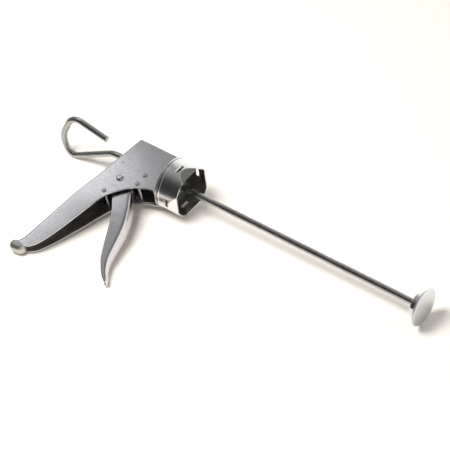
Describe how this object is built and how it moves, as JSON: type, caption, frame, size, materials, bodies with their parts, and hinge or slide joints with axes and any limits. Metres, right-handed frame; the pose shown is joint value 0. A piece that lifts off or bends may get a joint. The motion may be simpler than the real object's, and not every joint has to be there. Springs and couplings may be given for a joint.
{
  "type": "caulking gun",
  "caption": "Skeleton caulking gun: pressed steel grip and trigger, turning barrel collar, hooked push rod and plunger.",
  "frame": {"origin": "on the push rod's axis, in the plane of the front flange's front face, where the barrel collar seats", "axes": "+X forward along the rod to the plunger, +Y the gun's top (trigger and handle point to -Y), +Z the gun's right side; the gun lies on its left side"},
  "size_m": [0.4834, 0.1895, 0.0618],
  "materials": {
    "nickel_sheet": "satin",
    "zinc_bracket": "satin",
    "zinc_rod": "satin",
    "bright_steel": "gloss",
    "rivet_steel": "satin",
    "plunger_face": "satin",
    "hard_steel": "satin",
    "spring_steel": "satin"
  },
  "bodies": {
    "frame": {"frame_shell": "nickel_sheet", "front_flange": "nickel_sheet", "front_bracket": "zinc_bracket", "collar_hub": "bright_steel", "front_rod_bush": "bright_steel", "rear_rod_bush": "bright_steel", "collar_retaining_ring": "bright_steel", "pivot_rivet": "rivet_steel", "trigger_stop_rivet": "rivet_steel", "bracket_lower_rivet": "rivet_steel", "bracket_upper_rivets": "rivet_steel", "catch_pin": "bright_steel", "catch_spring_seat": "zinc_bracket"},
    "trigger": {"trigger_shell": "nickel_sheet", "trigger_pivot_bush": "bright_steel", "trigger_push_pin": "bright_steel", "trigger_push_roller": "bright_steel"},
    "drive": {"rear_drive_plate": "hard_steel", "front_drive_plate": "hard_steel", "drive_spring": "spring_steel"},
    "rod": {"push_rod": "zinc_rod", "plunger_disc": "plunger_face", "plunger_cup": "bright_steel", "plunger_collet": "bright_steel"},
    "collar": {"barrel_collar": "nickel_sheet"},
    "catch": {"release_catch": "hard_steel", "catch_spring": "spring_steel"}
  },
  "joints": [
    {"name": "trigger_pivot", "type": "hinge", "parent": "frame", "child": "trigger", "pos_m": [-0.0447, -0.0306, 0], "axis": [0, 0, 1], "range_deg": [-18, 0], "stiffness_Nm_per_rad": 0.6, "springref_deg": 20.05},
    {"name": "drive_slide", "type": "slide", "parent": "frame", "child": "drive", "axis": [1, 0, 0], "range_m": [0, 0.00605], "deforming": ["drive_spring"]},
    {"name": "rod_slide", "type": "slide", "parent": "frame", "child": "rod", "axis": [1, 0, 0], "range_m": [-0.295, 0.01]},
    {"name": "collar_spin", "type": "hinge", "parent": "frame", "child": "collar", "pos_m": [0, 0, 0], "axis": [1, 0, 0], "continuous": true},
    {"name": "catch_pivot", "type": "hinge", "parent": "frame", "child": "catch", "pos_m": [-0.0561, -0.0125, 0], "axis": [0, 0, 1], "range_deg": [-8, 0], "stiffness_Nm_per_rad": 0.5, "springref_deg": 14.32, "deforming": ["catch_spring"]}
  ],
  "couplings": [
    {"joint": "drive_slide", "follows": "trigger_pivot", "m_per_rad": -0.01915}
  ]
}
